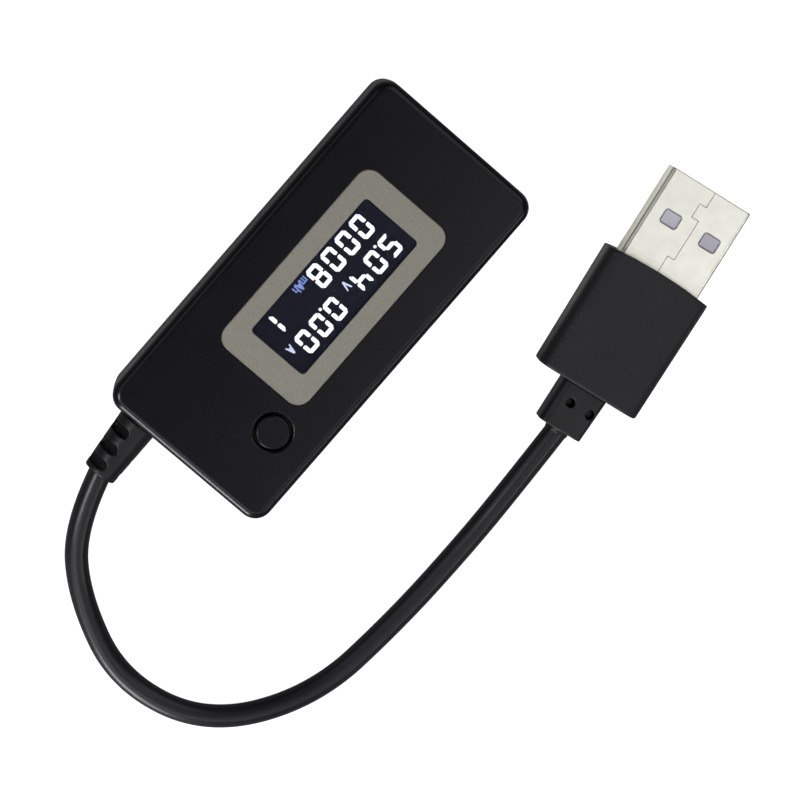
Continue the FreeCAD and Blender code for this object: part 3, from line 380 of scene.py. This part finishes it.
def dress_nodes(finishes):
    """Gives every CAD node the material of its slot in the record."""
    for row in frame["record"]["subparts"]:
        for slot in NODES[row["node"]].material_slots:
            slot.material = finishes[row["material_slot"]]


# ---------------------------------------------------------------- pieces

def new_piece(name, data, material, replaced=()):
    """Puts a mesh or curve in the scene as a piece that moves with the meter."""
    piece = bpy.data.objects.new(name, data)
    bpy.context.scene.collection.objects.link(piece)
    data.materials.clear()
    data.materials.append(material)
    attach(piece, BODY)
    if replaced:
        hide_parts(*replaced)
    return piece


def make_cord(material):
    """The cord as a round tube along its route, from one strain relief to the other."""
    curve = bpy.data.curves.new("cord_line", "CURVE")
    curve.dimensions = "3D"
    curve.resolution_u = 24
    curve.bevel_depth = CORD_DIAMETER / 2
    curve.bevel_resolution = 8
    curve.use_fill_caps = True
    spline = curve.splines.new("NURBS")
    spline.points.add(len(CORD_ROUTE) - 1)
    for point, place in zip(spline.points, CORD_ROUTE):
        point.co = (*place, 1)
    spline.order_u = 3
    spline.use_endpoint_u = True
    cord = new_piece("cord_jacket", curve, material, ["cord"])


def merged_copy(node, name):
    """A CAD solid's mesh as one closed skin."""
    mesh = NODES[node].data.copy()
    mesh.name = name
    shape = bmesh.new()
    shape.from_mesh(mesh)
    bmesh.ops.remove_doubles(shape, verts=shape.verts, dist=MERGE_DISTANCE)
    shape.to_mesh(mesh)
    shape.free()
    return mesh


def softened_copy(node, name, voxel, rounds, material):
    """A CAD solid's mesh, remeshed and relaxed until its edges are as soft as moulded rubber's."""
    draft = bpy.data.objects.new(f"{name}_draft", merged_copy(node, name))
    bpy.context.scene.collection.objects.link(draft)
    remesh = draft.modifiers.new("remesh", "REMESH")
    remesh.mode = "VOXEL"
    remesh.voxel_size = voxel
    relax = draft.modifiers.new("relax", "SMOOTH")
    relax.factor = 0.5
    relax.iterations = rounds
    depsgraph = bpy.context.evaluated_depsgraph_get()
    result = bpy.data.meshes.new_from_object(draft.evaluated_get(depsgraph))
    result.name = name
    result.shade_smooth()
    bpy.data.objects.remove(draft)
    return new_piece(name, result, material, [node])


def make_mouldings(finishes):
    """The rubber pieces at both ends of the cord."""
    pieces = []
    for node, name, slot, voxel, rounds in SOFT_MOULDINGS:
        pieces.append(softened_copy(node, name, voxel, rounds, finishes[slot]))
    return pieces


def make_snap_dome(material):
    """The switch's spring, as a piece with its own copy of the CAD mesh."""
    mesh = NODES["tact_switch_dome"].data.copy()
    mesh.name = "snap_dome"
    dome = new_piece("snap_dome", mesh, material, ["tact_switch_dome"])
    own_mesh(dome)


# ---------------------------------------------------------------- display segments

def segment_outlines(half_height):
    """The seven bars of a digit about its centre, in millimetres, each an outline of straight sides."""
    w, h, t = DIGIT_HALF_WIDTH, half_height, STROKE
    top = [(-w + 0.36, h), (w - 0.36, h), (w - 0.17, h - 0.13), (w - t - 0.02, h - t), (-w + t + 0.02, h - t),
           (-w + 0.17, h - 0.13)]
    upper_right = [(w, 0.18), (w, h - 0.40), (w - 0.14, h - 0.19), (w - t, h - t - 0.05), (w - t, 0.30),
                   (w - t + 0.15, 0.14), (w - 0.05, 0.14)]
    middle = [(-w + 0.24, 0), (-w + t + 0.03, t / 2), (w - t - 0.03, t / 2), (w - 0.24, 0),
              (w - t - 0.03, -t / 2), (-w + t + 0.03, -t / 2)]

    def flipped(outline, x, y):
        return [(px * x, py * y) for px, py in outline]

    return {
        "a": top,
        "b": upper_right,
        "c": flipped(upper_right, 1, -1),
        "d": flipped(top, 1, -1),
        "e": flipped(upper_right, -1, -1),
        "f": flipped(upper_right, -1, 1),
        "g": middle,
    }


UNIT_OUTLINES = {
    "V": [(-0.46, 0.62), (-0.24, 0.62), (0, -0.18), (0.24, 0.62), (0.46, 0.62), (0.12, -0.66),
          (-0.12, -0.66)],
    "A": [(-0.46, -0.66), (-0.12, 0.62), (0.12, 0.62), (0.46, -0.66), (0.24, -0.66), (0.17, -0.36),
          (-0.17, -0.36), (-0.24, -0.66)],
    "m": [(-0.42, -0.42), (-0.42, 0.42), (0.42, 0.42), (0.42, -0.42), (0.25, -0.42), (0.25, 0.25),
          (0.09, 0.25), (0.09, -0.42), (-0.09, -0.42), (-0.09, 0.25), (-0.25, 0.25), (-0.25, -0.42)],
    "h": [(-0.30, -0.58), (-0.30, 0.62), (-0.12, 0.62), (-0.12, 0.22), (0.30, 0.22), (0.30, -0.58),
          (0.12, -0.58), (0.12, 0.04), (-0.12, 0.04), (-0.12, -0.58)],
}


def add_slab(shape, outline, x, y, low):
    """A thin prism over an outline given in millimetres about (x, y)."""
    floor = [shape.verts.new(((x + px) * MM, (y + py) * MM, low)) for px, py in outline]
    roof = [shape.verts.new((*corner.co.xy, low + SEGMENT_THICKNESS * MM)) for corner in floor]
    shape.faces.new(floor)
    shape.faces.new(roof)
    for index in range(len(outline)):
        following = (index + 1) % len(outline)
        shape.faces.new((floor[index], floor[following], roof[following], roof[index]))


def segment_mesh(name, slabs):
    """One mesh for a group of lit outlines, each given as (outline, x, y)."""
    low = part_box("lcd_front_polariser")[1][2] + SEGMENT_GAP * MM
    shape = bmesh.new()
    for outline, x, y in slabs:
        add_slab(shape, outline, x, y, low)
    bmesh.ops.recalc_face_normals(shape, faces=shape.faces)
    mesh = bpy.data.meshes.new(name)
    shape.to_mesh(mesh)
    shape.free()
    return mesh


def dot_outline():
    """A decimal point, about its centre in millimetres."""
    turns = [2 * math.pi * side / DOT_SIDES for side in range(DOT_SIDES)]
    return [(DOT_RADIUS * math.cos(turn), DOT_RADIUS * math.sin(turn)) for turn in turns]


def digit_slabs(digits, row, half_height):
    """The lit bars of a row of digits, each as (outline, x, y)."""
    bars = segment_outlines(half_height)
    return [(bars[bar], x, row) for figure, x in digits for bar in LIT[figure]]


def sign_slabs(signs):
    """The outlines of unit signs, each as (outline, x, y)."""
    return [(UNIT_OUTLINES[sign], x, y) for sign, x, y in signs]


def make_display_segments():
    """The lit digits and signs: each group is one piece with its own glow."""
    points = [(dot_outline(), x, y) for x, y in DECIMAL_POINTS]
    upper = digit_slabs(TOP_DIGITS, TOP_ROW, TOP_HALF_HEIGHT) + points
    lower = digit_slabs(BOTTOM_DIGITS, BOTTOM_ROW, BOTTOM_HALF_HEIGHT)
    groups = [
        ("upper_digits", upper, (0.80, 0.86, 1.0), (0.95, 0.97, 1.0), 1.0),
        ("lower_digits", lower, (0.80, 0.86, 1.0), (0.95, 0.97, 1.0), 1.0),
        ("unit_signs", sign_slabs(VOLT_AND_AMP_SIGNS), (0.55, 0.6, 0.85), (0.7, 0.74, 0.95), 0.7),
        ("count_unit", sign_slabs(COUNT_SIGNS), (0.16, 0.24, 0.60), (0.25, 0.34, 0.72), 0.6),
    ]
    for name, slabs, dark, light, strength in groups:
        new_piece(name, segment_mesh(name, slabs), lit_material(name, dark, light, strength))


# ---------------------------------------------------------------- floor, lights and camera

def floor_material():
    """White to the camera. Light bounces off it as off grey card, and off white card by the plug."""
    finish = Finish("floor_white", Roughness=0.7, Specular_IOR_Level=0.1)
    low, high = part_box("plug_shell")
    from_plug = finish.near((low[0] + high[0]) / 2, (low[1] + high[1]) / 2)
    finish.paint(finish.colours(from_plug, [(WHITE_CARD_RADIUS, WHITE_CARD), (GREY_CARD_RADIUS, GREY_CARD)]))
    finish.paint(finish.tones(finish.noise(0.2, 2), grey(0.99), grey(1)), "Emission Color")
    direct = finish.add("ShaderNodeLightPath")
    finish.link(direct.outputs["Is Camera Ray"], finish.shader.inputs["Emission Strength"])
    return finish.material


def make_floor():
    shape = bmesh.new()
    bmesh.ops.create_grid(shape, x_segments=8, y_segments=8, size=FLOOR_HALF_WIDTH)
    mesh = bpy.data.meshes.new("floor")
    shape.to_mesh(mesh)
    shape.free()
    mesh.materials.append(floor_material())
    floor = bpy.data.objects.new("floor", mesh)
    floor.location.z = -FLOOR_GAP
    bpy.context.scene.collection.objects.link(floor)


def make_world():
    world = bpy.data.worlds.new("studio")
    world.use_nodes = True
    background = world.node_tree.nodes["Background"]
    background.inputs["Color"].default_value = (1, 1, 1, 1)
    background.inputs["Strength"].default_value = WORLD_BRIGHTNESS
    bpy.context.scene.world = world


def direction(azimuth, elevation):
    """A unit vector, from its angles in degrees."""
    bearing = math.radians(azimuth)
    lift = math.radians(elevation)
    level = math.cos(lift)
    return Vector((math.cos(bearing) * level, math.sin(bearing) * level, math.sin(lift)))


def softbox(name, azimuth, elevation, distance, width, height, radiance):
    """A rectangular light in a direction from the aim point, which it faces."""
    outward = direction(azimuth, elevation)
    light = bpy.data.lights.new(name, "AREA")
    light.shape = "RECTANGLE"
    light.size = width
    light.size_y = height
    light.energy = math.pi * width * height * radiance
    lamp = bpy.data.objects.new(name, light)
    lamp.location = Vector(LIGHT_AIM) + outward * distance
    lamp.rotation_euler = outward.to_track_quat("Z", "Y").to_euler()
    lamp.visible_camera = False
    bpy.context.scene.collection.objects.link(lamp)


def make_camera():
    """A camera at the given place, looking down at the given angle."""
    back = -direction(CAMERA_BEARING, -CAMERA_DOWNWARD)
    right = direction(CAMERA_UP_HEADING, 0).cross(back).normalized()
    up = back.cross(right)
    camera_data = bpy.data.cameras.new("camera")
    camera_data.lens = CAMERA_LENS
    camera_data.sensor_width = CAMERA_SENSOR
    camera_data.clip_start = CAMERA_CLIP_START
    camera = bpy.data.objects.new("camera", camera_data)
    turn = Matrix((right, up, back)).transposed().to_4x4()
    camera.matrix_world = Matrix.Translation(CAMERA_PLACE) @ turn
    bpy.context.scene.collection.objects.link(camera)
    bpy.context.scene.camera = camera


# ---------------------------------------------------------------- the whole scene


finishes = slot_materials()
dress_nodes(finishes)
mouldings = make_mouldings(finishes)
make_cord(finishes["cord_black"])
make_snap_dome(finishes["switch_steel"])
make_display_segments()
make_floor()
make_world()
for panel in SOFTBOXES:
    softbox(*panel)
make_camera()
bpy.context.scene.view_settings.view_transform = "Standard"
